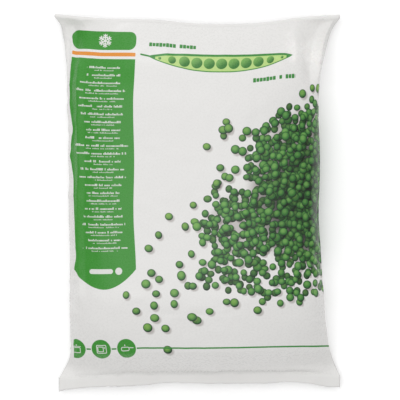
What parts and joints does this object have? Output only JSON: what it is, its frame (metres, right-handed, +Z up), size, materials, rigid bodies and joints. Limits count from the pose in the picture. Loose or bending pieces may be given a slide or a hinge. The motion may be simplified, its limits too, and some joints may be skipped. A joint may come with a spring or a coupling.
{
  "type": "frozen vegetable bag",
  "caption": "Pillow bag of white plastic film, full of frozen peas and lying on its back, with a flat bottom seal, a folded top seal and corner ears.",
  "frame": {"origin": "on the surface that the bag lies on, under the middle of its bounding box", "axes": "+Z up, out of the printed front; +Y along the bag to its top end; +X to the right as the front is read"},
  "size_m": [0.2808, 0.371, 0.067],
  "materials": {
    "film": "white polyethylene film with a soft gloss, printed in green"
  },
  "bodies": {
    "root": {"bag": "film"}
  },
  "joints": []
}
